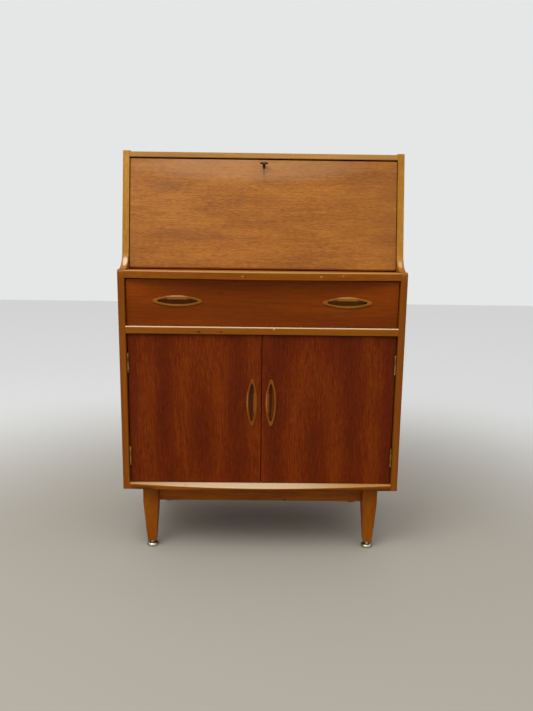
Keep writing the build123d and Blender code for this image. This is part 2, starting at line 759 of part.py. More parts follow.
def add_leaf(sign, level, plate_x, first_knuckle):
    # One hinge leaf: a plate notched round the other leaf's knuckles, and its own knuckles on the pin.
    bottom = level - hinge_length / 2
    clear_y = hinge_axis_y + hinge_barrel_radius + hinge_leaf_play
    add_block(plate_x, (clear_y, leaf_back_y), (bottom, bottom + hinge_length))
    for number in range(first_knuckle, hinge_knuckles, 2):
        start = bottom + number * knuckle_pitch + hinge_knuckle_gap / 2
        end = bottom + (number + 1) * knuckle_pitch - hinge_knuckle_gap / 2
        barrel_plane = Plane(origin=(sign * hinge_axis_x, hinge_axis_y, 0), z_dir=(0, 0, 1))
        web_y = (hinge_axis_y + hinge_pin_radius + 2 * hinge_pin_play, clear_y)
        add_block(plate_x, web_y, (start, end))
        add_rod(barrel_plane, hinge_barrel_radius, start, end)
        add_rod(barrel_plane, hinge_pin_radius + hinge_pin_play, start, end, Mode.SUBTRACT)


with BuildPart() as carcass_leaves:
    for sign in (-1, 1):
        for level in hinge_levels:
            add_leaf(sign, level, sorted((sign * inner_x, sign * (inner_x - hinge_leaf))), 0)
finish(carcass_leaves, "hinge_carcass_leaves")

for side, sign in (("left", -1), ("right", 1)):
    with BuildPart() as door_leaves:
        for level in hinge_levels:
            add_leaf(sign, level, sorted((sign * door_edge_x, sign * (door_edge_x + hinge_leaf))), 1)
    finish(door_leaves, f"hinge_door_leaves_{side}")

with BuildPart() as hinge_pins:
    for sign in (-1, 1):
        for level in hinge_levels:
            barrel_plane = Plane(origin=(sign * hinge_axis_x, hinge_axis_y, level), z_dir=(0, 0, 1))
            half = hinge_length / 2 + hinge_knuckle_gap
            add_rod(barrel_plane, hinge_pin_radius, -half, half)
            add_rod(barrel_plane, hinge_barrel_radius, half, half + hinge_pin_head)
            add_rod(barrel_plane, hinge_barrel_radius, -half - hinge_pin_head, -half)
finish(hinge_pins, "hinge_pins")

with BuildPart() as door_catches:
    for sign in (-1, 1):
        catch_x = (sign * catch_offset - catch_width / 2, sign * catch_offset + catch_width / 2)
        catch_front = catch_plate_y[1] + catch_gap
        add_block(catch_x, (catch_front, catch_front + catch_depth), catch_z)
finish(door_catches, "door_catches")

# The flap, pivoted on pins at its heel, with the lock let into its top edge from inside
lock_span_up = (flap_reach - lock_height, flap_reach)
case_back = -flap_thickness / 2
case_front = case_back + lock_depth
face_out = flap_thickness / 2


def flap_block(x_span, up_span, out_span, mode=Mode.ADD):
    # A rectangular block given in the flap's own directions: along the desk, up the flap, and outward.
    with BuildSketch(flap_face.offset(out_span[0])) as rectangle:
        with Locations(((x_span[0] + x_span[1]) / 2, (up_span[0] + up_span[1]) / 2)):
            Rectangle(x_span[1] - x_span[0], up_span[1] - up_span[0])
    extrude(rectangle.sketch, amount=out_span[1] - out_span[0], mode=mode)


def keyhole(grow, out_span, mode):
    # A round hole on the key's axis with a slot below it for the bit.
    drop = key_bit_radius + grow
    with BuildSketch(flap_face.offset(out_span[0])) as outline:
        with Locations((0, key_height)):
            Circle(key_radius + key_play + grow)
        with Locations((0, key_height - drop / 2)):
            Rectangle(keyhole_slot + 2 * grow, drop)
        with Locations((0, key_height - drop)):
            Circle(keyhole_slot / 2 + grow)
    extrude(outline.sketch, amount=out_span[1] - out_span[0], mode=mode)


with BuildPart() as flap_panel:
    with BuildSketch(flap_edge) as profile:
        with Locations(((flap_reach - flap_heel) / 2, 0)):
            Rectangle(flap_reach + flap_heel, flap_thickness)
        fillet(profile.vertices().group_by(Axis.X)[0], flap_heel_round)
        fillet(profile.vertices().group_by(Axis.X)[-1], flap_arris)
    extrude(amount=flap_width / 2, both=True)
    for sign in (-1, 1):
        pin_plane = Plane(origin=(sign * flap_width / 2, pivot_y, pivot_z), z_dir=(-sign, 0, 0))
        add_rod(pin_plane, pivot_radius, 0, pivot_in_flap, Mode.SUBTRACT)
    flap_block((-lock_width / 2, lock_width / 2), lock_span_up, (case_back, case_front), Mode.SUBTRACT)
    keyhole(escutcheon_wall, (case_front, face_out), Mode.SUBTRACT)
finish(flap_panel, "flap_panel")

with BuildPart() as pivot_pins:
    for sign in (-1, 1):
        pin_plane = Plane(origin=(sign * flap_width / 2, pivot_y, pivot_z), z_dir=(sign, 0, 0))
        add_rod(pin_plane, pivot_radius, -pivot_in_flap, flap_side_gap + pivot_in_side)
finish(pivot_pins, "flap_pivot_pins")

with BuildPart() as pivot_bushes:
    for sign in (-1, 1):
        bush_plane = Plane(origin=(sign * inner_x, pivot_y, pivot_z), z_dir=(sign, 0, 0))
        add_rod(bush_plane, bush_radius, 0, bush_length)
        add_rod(bush_plane, pivot_radius + pivot_play, 0, bush_length, Mode.SUBTRACT)
finish(pivot_bushes, "pivot_bushes")

# Lock: an open-topped case, a bolt that rises out of it, an escutcheon and the key
bolt_back = case_back + lock_wall + bolt_setback
bolt_out_span = (bolt_back, bolt_back + bolt_thickness)
bolt_foot = key_height + key_radius + bolt_lift_gap
bolt_up_span = (bolt_foot, flap_reach - bolt_rest)
slot_half_width = bolt_width / 2 + bolt_play

with BuildPart() as lock_case:
    flap_block((-lock_width / 2, lock_width / 2), lock_span_up, (case_back, case_front))
    cavity_x = lock_width / 2 - lock_cheek
    cavity_up = (lock_span_up[0] + lock_wall, flap_reach - lock_wall)
    cavity_out = (case_back + lock_wall, case_front - lock_wall)
    flap_block((-cavity_x, cavity_x), cavity_up, cavity_out, Mode.SUBTRACT)
    slot_out = (bolt_out_span[0] - bolt_play, bolt_out_span[1] + bolt_play)
    flap_block((-slot_half_width, slot_half_width), (cavity_up[1], flap_reach), slot_out, Mode.SUBTRACT)
    keyhole(0, (cavity_out[1], case_front), Mode.SUBTRACT)
finish(lock_case, "lock_case")

with BuildPart() as lock_bolt:
    flap_block((-bolt_width / 2, bolt_width / 2), bolt_up_span, bolt_out_span)
    tip_edges = lock_bolt.edges().sort_by(Axis(flap_origin, flap_up))[-4:]
    chamfer(tip_edges, bolt_arris)
finish(lock_bolt, "lock_bolt")

with BuildPart() as escutcheon:
    keyhole(escutcheon_wall, (case_front, face_out + escutcheon_proud), Mode.ADD)
    keyhole(0, (case_front, face_out + escutcheon_proud), Mode.SUBTRACT)
finish(escutcheon, "keyhole_escutcheon")

with BuildPart() as key:
    key_tip = case_back + lock_wall + bolt_rest
    key_end = face_out + key_reach
    bow_start = key_end - key_bow_depth
    bow_middle = (0, *flap_point(key_height, (bow_start + key_end) / 2))
    bow_plane = Plane(origin=bow_middle, x_dir=(1, 0, 0), z_dir=flap_up)
    with BuildSketch(bow_plane.offset(-key_bow_thickness / 2)):
        Ellipse(key_bow_width / 2, key_bow_depth / 2)
        Ellipse(key_bow_width / 2 - key_bow_wall, key_bow_depth / 2 - key_bow_wall, mode=Mode.SUBTRACT)
    extrude(amount=key_bow_thickness)
    fillet(key.edges(), key_bow_round)
    with BuildSketch(flap_face.offset(key_tip)):
        with Locations((0, key_height)):
            Circle(key_radius)
    extrude(amount=bow_start + key_bow_wall / 2 - key_tip)
    bit_up = (key_height - key_bit_thickness / 2, key_height + key_bit_thickness / 2)
    flap_block((0, key_bit_radius), bit_up, bolt_out_span)
finish(key, "key")

# Sliding stays: an arm pinned to the flap at one end, whose slot runs over a stud on the side.
# Stud and pivot lie at one radius from the flap's axis, so the arm turns half as fast as the flap.
stud_y = pivot_y - stay_radius * cos(stay_stud_angle)
stud_z = pivot_z + stay_radius * sin(stay_stud_angle)
arm_pivot_y = pivot_y - stay_radius * cos(stay_pivot_angle)
arm_pivot_z = pivot_z + stay_radius * sin(stay_pivot_angle)
arm_direction = (0, -cos(stay_heading), sin(stay_heading))
arm_outer_x = inner_x - stay_flange - stay_gap
arm_inner_x = arm_outer_x - stay_thickness
lug_outer_x = arm_inner_x - stay_gap
pivot_up = sqrt(stay_radius**2 - stay_pivot_offset**2)
slot_radius = stay_stud_radius + stay_slot_play

for side, sign in (("left", -1), ("right", 1)):
    arm_start = (sign * arm_inner_x, arm_pivot_y, arm_pivot_z)
    arm_plane = Plane(origin=arm_start, x_dir=arm_direction, z_dir=(sign, 0, 0))
    slot_start = chord_closed - stay_slot_end
    slot_end = chord_open
    arm_length = stay_reach - stay_width / 2
    with BuildPart() as stay_arm:
        with BuildSketch(arm_plane) as blade:
            with Locations((arm_length / 2, 0)):
                SlotCenterToCenter(arm_length, stay_width)
            Circle(stay_pin_radius + pivot_play, mode=Mode.SUBTRACT)
            with Locations(((slot_start + slot_end) / 2, 0)):
                SlotCenterToCenter(slot_end - slot_start, 2 * slot_radius, mode=Mode.SUBTRACT)
        extrude(amount=stay_thickness)
    finish(stay_arm, f"stay_arm_{side}")

with BuildPart() as stay_studs:
    for sign in (-1, 1):
        stud_plane = Plane(origin=(sign * inner_x, stud_y, stud_z), z_dir=(-sign, 0, 0))
        stud_length = stay_flange + 2 * stay_gap + stay_thickness
        add_rod(stud_plane, stay_flange_radius, 0, stay_flange)
        add_rod(stud_plane, stay_stud_radius, 0, stud_length)
        add_rod(stud_plane, stay_head_radius, stud_length, stud_length + stay_head)
finish(stay_studs, "stay_studs")

with BuildPart() as stay_brackets:
    for sign in (-1, 1):
        lug_x = sorted((sign * lug_outer_x, sign * (lug_outer_x - stay_lug)))
        foot_x = sorted((sign * lug_outer_x, sign * (lug_outer_x - stay_foot_width)))
        foot_up = (pivot_up - stay_foot_length / 2, pivot_up + stay_foot_length / 2)
        lug_up = (pivot_up - stay_lug_radius, pivot_up + stay_lug_radius)
        flap_block(foot_x, foot_up, (case_back - stay_lug, case_back))
        flap_block(lug_x, lug_up, (-stay_pivot_offset, case_back))
        pin_plane = Plane(origin=(sign * lug_outer_x, arm_pivot_y, arm_pivot_z), z_dir=(sign, 0, 0))
        add_rod(pin_plane, stay_lug_radius, -stay_lug, 0)
        pin_length = stay_thickness + 2 * stay_gap
        add_rod(pin_plane, stay_pin_radius, 0, pin_length)
        add_rod(pin_plane, stay_head_radius, pin_length, pin_length + stay_head)
finish(stay_brackets, "stay_brackets")
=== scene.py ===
import bpy
import json
from math import cos, radians, sin
from mathutils import Matrix, Vector

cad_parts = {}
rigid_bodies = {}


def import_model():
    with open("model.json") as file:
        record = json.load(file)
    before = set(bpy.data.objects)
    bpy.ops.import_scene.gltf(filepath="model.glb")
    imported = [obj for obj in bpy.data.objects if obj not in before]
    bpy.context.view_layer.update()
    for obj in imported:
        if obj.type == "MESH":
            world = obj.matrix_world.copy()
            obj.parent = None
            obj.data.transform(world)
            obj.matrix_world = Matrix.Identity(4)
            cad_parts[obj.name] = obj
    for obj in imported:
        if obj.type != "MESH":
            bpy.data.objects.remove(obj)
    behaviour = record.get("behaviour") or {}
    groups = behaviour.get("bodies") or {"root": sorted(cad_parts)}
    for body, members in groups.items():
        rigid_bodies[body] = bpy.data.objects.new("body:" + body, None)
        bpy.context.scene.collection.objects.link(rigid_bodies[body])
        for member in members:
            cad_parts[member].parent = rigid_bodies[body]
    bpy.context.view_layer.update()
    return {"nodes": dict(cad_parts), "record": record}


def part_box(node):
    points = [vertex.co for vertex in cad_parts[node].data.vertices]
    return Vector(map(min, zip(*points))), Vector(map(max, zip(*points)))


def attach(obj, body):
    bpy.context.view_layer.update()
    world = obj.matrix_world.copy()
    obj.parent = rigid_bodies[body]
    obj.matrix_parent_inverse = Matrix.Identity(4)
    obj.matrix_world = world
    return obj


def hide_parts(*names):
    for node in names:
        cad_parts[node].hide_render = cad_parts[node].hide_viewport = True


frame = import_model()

cadNodes = frame["nodes"]
bodyOf = {name: body for body, names in frame["record"]["behaviour"]["bodies"].items() for name in names}
print("frame loaded:", len(cadNodes), "CAD pieces")


def linearColour(hexText):
    parts = [int(hexText[start:start + 2], 16) / 255 for start in (0, 2, 4)]
    return tuple(p / 12.92 if p <= 0.04045 else ((p + 0.055) / 1.055) ** 2.4 for p in parts) + (1.0,)


def addNode(tree, kind, sockets=None, **settings):
    # one node with its settings; a socket's value may be a number, a colour or another node's output
    node = tree.nodes.new(kind)
    for name, value in settings.items():
        setattr(node, name, value)
    for name, value in (sockets or {}).items():
        if isinstance(value, bpy.types.NodeSocket):
            tree.links.new(value, node.inputs[name])
        else:
            node.inputs[name].default_value = value
    return node


def addMath(tree, operation, *values):
    return addNode(tree, "ShaderNodeMath", dict(enumerate(values)), operation=operation).outputs[0]


def addRange(tree, value, fromEnds, toEnds=(0.0, 1.0), smooth=False):
    # value carried from one pair of ends to another, and held at them
    return addNode(tree, "ShaderNodeMapRange", {
        "Value": value, "From Min": fromEnds[0], "From Max": fromEnds[1],
        "To Min": toEnds[0], "To Max": toEnds[1]},
        interpolation_type="SMOOTHSTEP" if smooth else "LINEAR").outputs[0]


def addRamp(tree, factor, stops):
    # stops are (position, hex colour), from left to right
    ramp = addNode(tree, "ShaderNodeValToRGB", {"Fac": factor})
    elements = ramp.color_ramp.elements
    while len(elements) < len(stops):
        elements.new(0.5)
    for element, (position, colour) in zip(elements, stops):
        element.position = position
        element.color = linearColour(colour)
    return ramp.outputs["Color"]


def addBump(tree, shader, height, strength, rise):
    # rise is the height of the relief in metres
    bump = addNode(tree, "ShaderNodeBump", {"Height": height, "Strength": strength, "Distance": rise})
    tree.links.new(bump.outputs[0], shader.inputs["Normal"])


def startMaterial(name):
    material = bpy.data.materials.new(name)
    material.use_nodes = True
    tree = material.node_tree
    tree.nodes.clear()
    place = addNode(tree, "ShaderNodeTexCoord").outputs["Object"]
    shader = addNode(tree, "ShaderNodeBsdfPrincipled")
    addNode(tree, "ShaderNodeOutputMaterial", {"Surface": shader.outputs[0]})
    return material, tree, place, shader


def sweepNoise(tree, place, size, seed, detail=2.0, roughness=0.5):
    # noise whose cells are size = (x, y, z) millimetres
    scale = [1000 / length for length in size]
    start = (seed, seed * 0.7, seed * 1.3)
    moved = addNode(tree, "ShaderNodeMapping", {"Vector": place, "Location": start, "Scale": scale})
    noise = addNode(tree, "ShaderNodeTexNoise", {
        "Vector": moved.outputs[0], "Scale": 1.0, "Detail": detail, "Roughness": roughness})
    return noise.outputs["Fac"]


def markMask(tree, place, mark):
    # a soft-edged ellipse in millimetres, solid out to solidShare of its radii: x, z and two radii on a
    # front face, or x, y and two radii if it lies flat
    solidShare = 0.45
    first, second, radiusFirst, radiusSecond = mark["at"]
    upright = 0 if mark.get("flat") else 1
    scale = (1000 / radiusFirst, 1000 / radiusSecond * (1 - upright), 1000 / radiusSecond * upright)
    centre = (-first / radiusFirst, -second / radiusSecond * (1 - upright), -second / radiusSecond * upright)
    moved = addNode(tree, "ShaderNodeMapping", {"Vector": place, "Scale": scale, "Location": centre})
    away = addNode(tree, "ShaderNodeVectorMath", {0: moved.outputs[0]}, operation="LENGTH")
    return addRange(tree, away.outputs["Value"], (solidShare, 1.0), (1.0, 0.0), smooth=True)


def mixColour(tree, factor, first, second, blend="MIX"):
    mixed = addNode(
        tree, "ShaderNodeMix", {0: factor, 6: first, 7: second}, data_type="RGBA", blend_type=blend)
    return mixed.outputs[2]


# What all the timber shares unless its own dictionary says otherwise.  wanderCell is (along, across) the grain
# in millimetres; wander and poreRise are in metres; the ring values shape the crown-cut figure.
# In the dictionaries further down, grain is the axis it runs along (0 across the desk, 1 front to back, 2 up),
# and cloud, streak, fleck and pore are (millimetres along, millimetres across, amount).  crown is (x, z, ring,
# stretch, amount), and heightShade is (from, to, tone below) with its levels in metres: painted shade below
# one level, standing in for light that falls unevenly by height.
timber = {
    "wanderCell": (320, 90), "wander": 0.012, "poreEnds": (0.60, 0.74), "poreRise": 0.0004, "bump": 0.25,
    "ringTurn": 20, "ringDistortion": 2.2, "ringDetail": 2.0, "ringDetailScale": 1.4,
    "ringRoughness": 0.55, "roughSpread": 0.06, "ior": 1.5, "gloss": 0.35,
}


def makeWood(name, ownValues):
    # lacquered or bare timber; ownValues is one of the dictionaries below
    material, tree, place, shader = startMaterial(name)
    wood = {**timber, **ownValues}
    along = wood["grain"]
    across = [axis for axis in range(3) if axis != along]

    def cell(length, width):
        size = [width] * 3
        size[along] = length
        return size

    seed = wood["seed"]
    # a slow sideways wander keeps the streaks from running dead straight
    wander = sweepNoise(tree, place, cell(*wood["wanderCell"]), seed + 5, 1.0)
    bend = addMath(tree, "MULTIPLY", wander, wood["wander"])
    shift = addNode(tree, "ShaderNodeCombineXYZ")
    for axis in across:
        tree.links.new(bend, shift.inputs[axis])
    bent = addNode(tree, "ShaderNodeVectorMath", {0: place, 1: shift.outputs[0]}, operation="ADD")
    waved = bent.outputs[0]
    patterns = [
        (sweepNoise(tree, place, cell(*wood["cloud"][:2]), seed + 1, 2.0), wood["cloud"][2]),
        (sweepNoise(tree, waved, cell(*wood["streak"][:2]), seed + 2, 3.0, 0.6), wood["streak"][2]),
        (sweepNoise(tree, waved, cell(*wood["fleck"][:2]), seed + 3, 2.0, 0.6), wood["fleck"][2]),
    ]
    if "crown" in wood:
        # crown-cut figure: nested arches round a line up the board, from stretched rings
        centreX, centreZ, ring, stretch, amount = wood["crown"]
        arch = addNode(tree, "ShaderNodeMapping", {
            "Vector": waved, "Location": (-centreX / 1000, 0, -centreZ / 1000 / stretch),
            "Scale": (1, 0, 1 / stretch)})
        # the wave node turns ringTurn radians in a metre at a scale of 1; ring is one radian's millimetres
        rings = addNode(tree, "ShaderNodeTexWave", {
            "Vector": arch.outputs[0], "Scale": 1000 / ring / wood["ringTurn"],
            "Distortion": wood["ringDistortion"], "Detail": wood["ringDetail"],
            "Detail Scale": wood["ringDetailScale"], "Detail Roughness": wood["ringRoughness"]},
            wave_type="RINGS", rings_direction="Y", wave_profile="SIN")
        patterns.append((rings.outputs["Fac"], amount))
    tone = 0.5
    for value, amount in patterns:
        centred = addMath(tree, "SUBTRACT", value, 0.5)
        tone = addMath(tree, "MULTIPLY_ADD", centred, amount, tone)
    colour = addRamp(tree, tone, wood["tones"])
    # open pores: short dark dashes along the grain
    poreNoise = sweepNoise(tree, waved, cell(*wood["pore"][:2]), seed + 4, 1.0)
    pores = addRange(tree, poreNoise, wood["poreEnds"], (0.0, wood["pore"][2]))
    colour = mixColour(tree, pores, colour, linearColour(wood["poreColour"]))
    if "heightShade" in wood:
        # painted shade: a browner, darker tone below one level that clears towards another, in metres up;
        # it stands in for light that falls unevenly by height
        low, high, brown = wood["heightShade"]
        level = addNode(tree, "ShaderNodeSeparateXYZ", {0: place}).outputs["Z"]
        above = addRange(tree, level, (low, high))
        shade = mixColour(tree, above, linearColour(brown), (1, 1, 1, 1))
        colour = mixColour(tree, 1.0, colour, shade, "MULTIPLY")
    # marks: knocks, stains and figure, and also painted highlights and painted shade
    for mark in wood.get("marks", ()):
        mask = markMask(tree, place, mark)
        faded = addMath(tree, "MULTIPLY", mask, mark["strength"])
        colour = mixColour(tree, faded, colour, linearColour(mark["colour"]))
    tree.links.new(colour, shader.inputs["Base Color"])
    dull, bright = wood["roughness"] + wood["roughSpread"], wood["roughness"] - wood["roughSpread"]
    tree.links.new(addRange(tree, tone, (0.0, 1.0), (dull, bright)), shader.inputs["Roughness"])
    height = addMath(tree, "MULTIPLY_ADD", pores, -1.0, tone)
    addBump(tree, shader, height, wood["bump"], wood["poreRise"])
    shader.inputs["IOR"].default_value = wood["ior"]
    shader.inputs["Specular IOR Level"].default_value = wood["gloss"]
    return material


# What all the fittings' metal shares: patches of tarnish and drawn scratches.  Sizes are in millimetres, but
# scratchRise is in metres.
fittingMetal = {
    "patch": (14, 14, 14), "scratch": (0.5, 0.5, 9), "cleanUpTo": 0.35, "tarnishedFrom": 0.70,
    "roughLess": 0.08, "roughMore": 0.14, "scratchDepth": 0.15, "scratchRise": 0.0001,
}


def makeMetal(name, ownValues):
    # plated or bare metal with faint drawn lines, dulled in patches
    material, tree, place, shader = startMaterial(name)
    metal = {**fittingMetal, **ownValues}
    patches = sweepNoise(tree, place, metal["patch"], metal["seed"], 3.0)
    scratches = sweepNoise(tree, place, metal["scratch"], metal["seed"] + 3, 2.0)
    stops = [(metal["cleanUpTo"], metal["clean"]), (metal["tarnishedFrom"], metal["tarnish"])]
    tree.links.new(addRamp(tree, patches, stops), shader.inputs["Base Color"])
    roughEnds = (metal["roughness"] - metal["roughLess"], metal["roughness"] + metal["roughMore"])
    tree.links.new(addRange(tree, patches, (0.0, 1.0), roughEnds), shader.inputs["Roughness"])
    addBump(tree, shader, scratches, metal["scratchDepth"], metal["scratchRise"])
    shader.inputs["Metallic"].default_value = 1.0
    return material


# What the moulded plastic, the pressed board and the screw slots' grime and painted shade share; grainRise is
# in metres.
mouldedGrain = {
    "darkUpTo": 0.3, "lightFrom": 0.7, "grainDepth": 0.3, "grainRise": 0.0003, "grainRoughness": 0.65,
}


def makeMoulded(name, ownValues):
    # moulded plastic or pressed board with a fine even grain
    material, tree, place, shader = startMaterial(name)
    moulded = {**mouldedGrain, **ownValues}
    grain = sweepNoise(tree, place, moulded["grain"], 2.0, 4.0, moulded["grainRoughness"])
    stops = [(moulded["darkUpTo"], moulded["dark"]), (moulded["lightFrom"], moulded["light"])]
    tree.links.new(addRamp(tree, grain, stops), shader.inputs["Base Color"])
    addBump(tree, shader, grain, moulded["grainDepth"], moulded["grainRise"])
    shader.inputs["Roughness"].default_value = moulded["roughness"]
    return material


def paint(material, *names):
    for name in names:
        for materialSlot in cadNodes[name].material_slots:
            materialSlot.material = material


# Teak veneer on the flap, sliced across the desk: honey brown, with fine dashes that streak sideways.
# Real pores are about 0.3 mm wide; they are drawn 2 mm wide, as fine as shows at this distance.
flapVeneer = {
    "grain": 0, "seed": 11, "wander": 0.006,
    "cloud": (180, 44, 0.52), "streak": (110, 5.0, 0.36), "fleck": (14, 2.4, 0.62),
    "tones": [(0.20, "6d3a0b"), (0.50, "965917"), (0.80, "b47526")],
    "pore": (16, 2.0, 0.50), "poreColour": "5f2f12", "roughness": 0.42, "gloss": 0.22,
    "marks": [
        # painted shadow: a dark streak under the key with a softer reddish tail below it, standing in for the
        # key's shadow and the shade in the keyhole slot
        {"at": (0, 1053, 3, 13), "strength": 0.8, "colour": "2a1208"},
        {"at": (2, 1040, 7, 20), "strength": 0.3, "colour": "7a3312"},
        # painted sheen: a paler band across the top of the flap
        {"at": (-30, 1072, 380, 56), "strength": 0.26, "colour": "bd9468"},
        {"at": (-265, 1010, 60, 22), "strength": 0.30, "colour": "7b4a26"},
        # painted shade: the right of the flap darker, where less light falls than on the left
        {"at": (330, 950, 190, 150), "strength": 0.26, "colour": "7c4413"},
        {"at": (-180, 885, 120, 26), "strength": 0.22, "colour": "844a22"},
    ],
}
# The drawer front is a redder, darker leaf of the same veneer with long quiet lines.
drawerVeneer = {
    "grain": 0, "seed": 23, "wander": 0.014,
    "cloud": (420, 60, 0.30), "streak": (200, 4.5, 0.34), "fleck": (40, 2.4, 0.26),
    "tones": [(0.20, "5f2301"), (0.50, "823802"), (0.82, "a45304")],
    "pore": (26, 2.0, 0.20), "poreColour": "3c1202", "roughness": 0.38, "gloss": 0.08,
    # painted light: darker below 0.67 m, clearing by 0.775 m, so the top reads lighter where the ledge's
    # shadow falls
    "heightShade": (0.670, 0.775, "d8d5d0"),
}
# Crown-cut door veneers: nested arches up each door, with darker drifts.
doorVeneer = {
    "grain": 2, "seed": 31, "wander": 0.030,
    "cloud": (170, 60, 0.20), "streak": (70, 3.6, 0.40), "fleck": (18, 2.2, 0.50),
    "tones": [(0.18, "3f1301"), (0.50, "5f1f01"), (0.84, "843a02")],
    "crown": (-150, 330, 16, 5.5, 0.17),
    "pore": (22, 2.0, 0.30), "poreColour": "2c0c02", "roughness": 0.36, "gloss": 0.08,
}
doorVeneerRight = dict(doorVeneer, seed=47, crown=(160, 250, 17, 5.0, 0.17))
# The sides' upright veneer and the top's.
sideVeneer = {
    "grain": 2, "seed": 59, "wander": 0.022,
    "cloud": (380, 70, 0.60), "streak": (260, 6.0, 0.50), "fleck": (40, 2.6, 0.45),
    "tones": [(0.20, "6b340b"), (0.50, "915117"), (0.82, "b06f29")],
    "crown": (0, 560, 22, 7.0, 0.15),
    "pore": (24, 2.0, 0.30), "poreColour": "4b220b", "roughness": 0.42,
}
topVeneer = dict(sideVeneer, grain=0, seed=63)
del topVeneer["crown"]
# Solid teak lippings: straight-grained and more golden than the veneer, satin where hands rub them.
lipping = {
    "grain": 0, "seed": 71, "wander": 0.006,
    "cloud": (420, 30, 0.40), "streak": (300, 4.5, 0.45), "fleck": (50, 2.4, 0.30),
    "tones": [(0.18, "7b4b1c"), (0.50, "a07035"), (0.82, "b88a4c")],
    "pore": (22, 2.0, 0.20), "poreColour": "6a3d12", "roughness": 0.36, "gloss": 0.14,
}
# Their upper arrises carry a painted highlight, and they carry small knocks down to the bare wood.
frontTones = [(0.18, "602c00"), (0.50, "7f4300"), (0.82, "935501")]
ledgeLipping = dict(lipping, seed=73, tones=frontTones, marks=[
    # painted highlight along the ledge's top arris
    {"at": (0, 791.5, 2000, 3.5), "strength": 0.5, "colour": "c99a5c"},
    {"at": (-52, 780, 4, 3), "strength": 0.40, "colour": "d09a58"},
    {"at": (-46, 779, 3, 2.2), "strength": 0.7, "colour": "5a2b0e"},
    {"at": (151, 781, 3.5, 2.6), "strength": 0.6, "colour": "d3a05c"},
    {"at": (208, 783, 3, 2.4), "strength": 0.5, "colour": "cf9c5a"},
])
railLipping = dict(lipping, seed=79, tones=frontTones, marks=[
    # painted highlight along the rail's top arris and top face
    {"at": (0, 645, 2000, 4), "strength": 0.75, "colour": "ecca9e"},
    {"at": (-169, 630.5, 6, 3.4), "strength": 0.95, "colour": "4a1204"},
    {"at": (-180, 630.5, 2.4, 2), "strength": 0.7, "colour": "5a2008"},
    {"at": (-109, 630.5, 4.6, 3.2), "strength": 0.9, "colour": "521a06"},
    {"at": (-118, 631.5, 2.4, 2.2), "strength": 0.6, "colour": "62260a"},
    {"at": (31, 640, 3.0, 3), "strength": 0.7, "colour": "dcb27c"},
])
# The bottom lipping is brown in front, and its top is paler along the middle: partly worn wood and partly
# painted light on the upward face.
bottomLipping = dict(lipping, seed=83, tones=frontTones, marks=[
    # paler top face: partly worn wood, partly painted light on an upward face
    {"at": (0, 207, 2000, 5), "strength": 1.0, "colour": "b38244"},
    # painted light: the top brighter left of the middle, where the key lamp falls
    {"at": (-55, 207, 430, 5), "strength": 0.9, "colour": "d9bf9c"},
    {"at": (-207, -206, 4, 3), "flat": True, "strength": 0.6, "colour": "6d3a16"},
])
# The side edges are lighter above the ledge and browner below it, as painted light: the upper edges lean back
# to the ceiling light.
sideLipping = dict(
    lipping, grain=2, seed=89, wander=0.004, tones=[(0.18, "7b4911"), (0.50, "a06c1e"), (0.82, "be8933")],
    heightShade=(0.770, 0.830, "c69c14"), marks=[
        # painted highlights on the shoulders, where the edges sweep out to the ledge
        {"at": (-371, 812, 8, 15), "strength": 0.55, "colour": "ecd6b8"},
        {"at": (371, 812, 7, 12), "strength": 0.35, "colour": "e0c49c"},
    ])
# Pulls carved from solid teak: golden, with a painted highlight on the upper rims and painted shade inside the
# scoops under the lips.
pullTeak = dict(lipping, seed=97, tones=[(0.18, "642f07"), (0.50, "86500f"), (0.82, "9f661a")], marks=[
    mark for x in (-225, 225) for mark in (
        # painted shade inside the scoop, darkest under the lip
        {"at": (x, 709, 62, 8), "strength": 0.55, "colour": "3c1504"},
        # painted highlight along the upper rim
        {"at": (x - 8, 727, 66, 5), "strength": 0.60, "colour": "d6a673"})])
uprightTones = [(0.18, "592304"), (0.50, "783c07"), (0.82, "8d510d")]
# Door pulls: painted shade inside each scoop, and a painted highlight on the top tip and on the rim's left
# edge.
pullTeakUpright = dict(lipping, grain=2, seed=99, tones=uprightTones, marks=[
    mark for x in (-26, 26) for mark in (
        {"at": (x - 2, 438, 8, 64), "strength": 0.55, "colour": "3a1303"},
        {"at": (x, 511, 6, 12), "strength": 0.65, "colour": "d49a62"},
        {"at": (x - 14, 450, 4, 60), "strength": 0.35, "colour": "b98046"})])
# Legs and aprons: plain hardwood stained to match.
legWood = {
    "grain": 2, "seed": 101, "wander": 0.006,
    "cloud": (160, 24, 0.50), "streak": (140, 4.5, 0.45), "fleck": (24, 2.4, 0.35),
    "tones": [(0.18, "652b00"), (0.50, "864301"), (0.82, "9d5802")],
    "pore": (16, 1.8, 0.22), "poreColour": "451a04", "roughness": 0.36, "gloss": 0.12,
}
apronWood = dict(legWood, grain=0, seed=103, marks=[
    {"at": (69, 140, 5, 4), "strength": 0.95, "colour": "1d0a04"},
])
# Unstained hardwood inside: drawer box, shelf and pigeonholes, left matt.
insideWood = {
    "grain": 0, "seed": 107, "wander": 0.010,
    "cloud": (300, 50, 0.45), "streak": (220, 5.0, 0.50), "fleck": (40, 2.4, 0.35),
    "tones": [(0.18, "8f643a"), (0.50, "ad8253"), (0.82, "c59c6c")],
    "pore": (20, 1.8, 0.22), "poreColour": "76502c", "roughness": 0.58,
}
insideUpright = dict(insideWood, grain=2, seed=109)
insideDeep = dict(insideWood, grain=1, seed=113)

